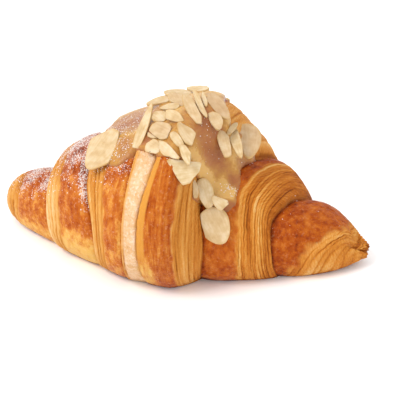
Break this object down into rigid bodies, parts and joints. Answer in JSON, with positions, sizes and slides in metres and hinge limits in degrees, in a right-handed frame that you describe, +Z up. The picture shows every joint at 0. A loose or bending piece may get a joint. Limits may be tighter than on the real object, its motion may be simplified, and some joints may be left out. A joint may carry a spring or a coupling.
{
  "type": "almond croissant",
  "caption": "Crescent pastry of rolled, layered dough with stepped wraps, a thick drizzle over its crest and flaked almonds stuck in it.",
  "frame": {"origin": "middle of the base of the bounding box, on the surface that the croissant rests on", "axes": "+Z up, +X along the roll from the left tip to the right tip as seen in the picture, -Y towards the viewer"},
  "size_m": [0.1706, 0.0846, 0.0815],
  "materials": {
    "crust": null
  },
  "bodies": {
    "root": {"croissant": "crust"}
  },
  "joints": []
}
